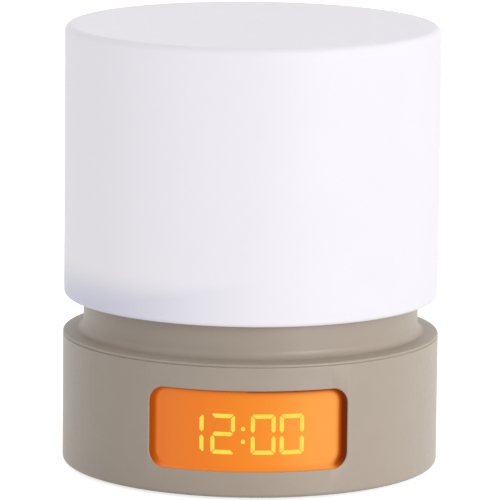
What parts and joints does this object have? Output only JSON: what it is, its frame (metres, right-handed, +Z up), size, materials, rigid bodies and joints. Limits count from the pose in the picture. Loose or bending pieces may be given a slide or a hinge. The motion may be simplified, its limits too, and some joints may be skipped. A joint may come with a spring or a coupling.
{
  "type": "digital alarm clock",
  "caption": "Cylindrical bedside clock lamp: opal press-down drum diffuser over a narrow neck and a taupe drum base with a curved amber window showing bar digits.",
  "frame": {"origin": "centre of the footprint, on the surface that the feet stand on", "axes": "+Z up along the drum's axis, display faces -Y, keys and power inlet at +Y, +X to the right as seen from the front"},
  "size_m": [0.1054, 0.1054, 0.1243],
  "materials": {
    "taupe_shell": "fine satin spark texture, warm grey-beige",
    "taupe_plate": "matt moulded plate, warm grey-beige",
    "opal_diffuser": "opal white, frosted, translucent",
    "white_moulding": "plain white moulding",
    "display_amber": "back-lit translucent amber",
    "digit_yellow": "lit yellow bars",
    "key_taupe": "satin keys in the body colour",
    "slider_grey": "satin grey slider",
    "plunger_white": "natural nylon",
    "foot_rubber": "matt black rubber",
    "screw_steel": "zinc-plated steel",
    "contact_plate": "nickel-plated spring steel",
    "spring_steel": "drawn spring wire",
    "cell_jacket": "printed-free cell jacket, copper colour",
    "circuit_board": "green solder mask",
    "lamp_board_white": "white solder mask on aluminium",
    "black_component": "moulded black component body",
    "speaker_black": "black speaker frame and magnet",
    "led_body": "pale emitter with yellow gel",
    "ribbon_white": "pale insulated wires"
  },
  "bodies": {
    "base": {"base_shell": "taupe_shell", "base_plate": "taupe_plate", "feet": "foot_rubber", "base_screws": "screw_steel", "batteries": "cell_jacket", "battery_contacts": "contact_plate", "main_board": "circuit_board", "board_screws": "screw_steel", "main_chips": "black_component", "power_inlet": "contact_plate", "speaker": "speaker_black", "display_lens": "display_amber", "digit_bars": "digit_yellow", "light_box": "white_moulding", "display_board": "circuit_board", "display_leds": "led_body", "display_screws": "screw_steel", "display_ribbon": "ribbon_white", "keypad_board": "circuit_board", "keypad_header": "black_component", "key_switches": "black_component", "slide_switch": "contact_plate", "neck": "taupe_shell", "neck_screws": "screw_steel", "lamp_board": "lamp_board_white", "lamp_leds": "led_body", "lamp_screws": "screw_steel", "lamp_wires": "ribbon_white", "snooze_board": "circuit_board", "snooze_switch": "black_component", "return_springs": "spring_steel"},
    "battery_door": {"battery_door": "taupe_plate"},
    "alarm_slider": {"alarm_slider": "slider_grey"},
    "diffuser": {"diffuser": "opal_diffuser", "diffuser_carrier": "white_moulding", "carrier_screws": "screw_steel", "snooze_plunger": "plunger_white"},
    "time_key": {"time_key": "key_taupe", "time_plunger": "plunger_white"},
    "alarm_key": {"alarm_key": "key_taupe", "alarm_plunger": "plunger_white"},
    "plus_key": {"plus_key": "key_taupe", "plus_plunger": "plunger_white"},
    "minus_key": {"minus_key": "key_taupe", "minus_plunger": "plunger_white"},
    "light_key": {"light_key": "key_taupe", "light_plunger": "plunger_white"}
  },
  "joints": [
    {"name": "diffuser_press", "type": "slide", "parent": "base", "child": "diffuser", "axis": [0, 0, -1], "range_m": [0, 0.001], "stiffness_N_per_m": 1200, "springref_m": -0.004, "deforming": ["return_springs"]},
    {"name": "battery_door_hinge", "type": "hinge", "parent": "base", "child": "battery_door", "pos_m": [0, 0.0062, 0.0024], "axis": [1, 0, 0], "range_deg": [0, 90]},
    {"name": "alarm_slider_slide", "type": "slide", "parent": "base", "child": "alarm_slider", "axis": [0, 0, 1], "range_m": [0, 0.003]},
    {"name": "time_key_press", "type": "slide", "parent": "base", "child": "time_key", "axis": [0, -1, 0], "range_m": [0, 0.0007], "stiffness_N_per_m": 900, "springref_m": -0.0012},
    {"name": "alarm_key_press", "type": "slide", "parent": "base", "child": "alarm_key", "axis": [0, -1, 0], "range_m": [0, 0.0007], "stiffness_N_per_m": 900, "springref_m": -0.0012},
    {"name": "plus_key_press", "type": "slide", "parent": "base", "child": "plus_key", "axis": [0, -1, 0], "range_m": [0, 0.0007], "stiffness_N_per_m": 900, "springref_m": -0.0012},
    {"name": "minus_key_press", "type": "slide", "parent": "base", "child": "minus_key", "axis": [0, -1, 0], "range_m": [0, 0.0007], "stiffness_N_per_m": 900, "springref_m": -0.0012},
    {"name": "light_key_press", "type": "slide", "parent": "base", "child": "light_key", "axis": [0, -1, 0], "range_m": [0, 0.0007], "stiffness_N_per_m": 900, "springref_m": -0.0012}
  ]
}
